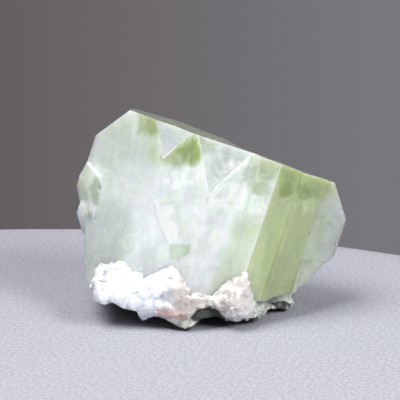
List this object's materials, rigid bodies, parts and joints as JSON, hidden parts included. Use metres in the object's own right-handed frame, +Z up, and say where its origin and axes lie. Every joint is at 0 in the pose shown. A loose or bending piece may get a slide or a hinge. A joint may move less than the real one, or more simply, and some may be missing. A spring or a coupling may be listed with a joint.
{
  "type": "apophyllite cluster",
  "caption": "Cluster of pale green, translucent blocky apophyllite crystals with white stilbite at the foot, resting on a thin piece of dark basalt.",
  "frame": {"origin": "on the resting surface, under the middle of the bounding box in plan", "axes": "+X to the right and +Y away from the viewer who sees the best face, +Z up"},
  "size_m": [0.0672, 0.0492, 0.0507],
  "materials": {
    "apophyllite": "vitreous, pearly on the flat top, milky and pale green",
    "stilbite": "pearly, granular",
    "basalt": "rough, broken, dull"
  },
  "bodies": {
    "root": {"apophyllite_crystals": "apophyllite", "stilbite_crust": "stilbite", "stilbite_tuft": "stilbite", "basalt_matrix": "basalt"}
  },
  "joints": []
}
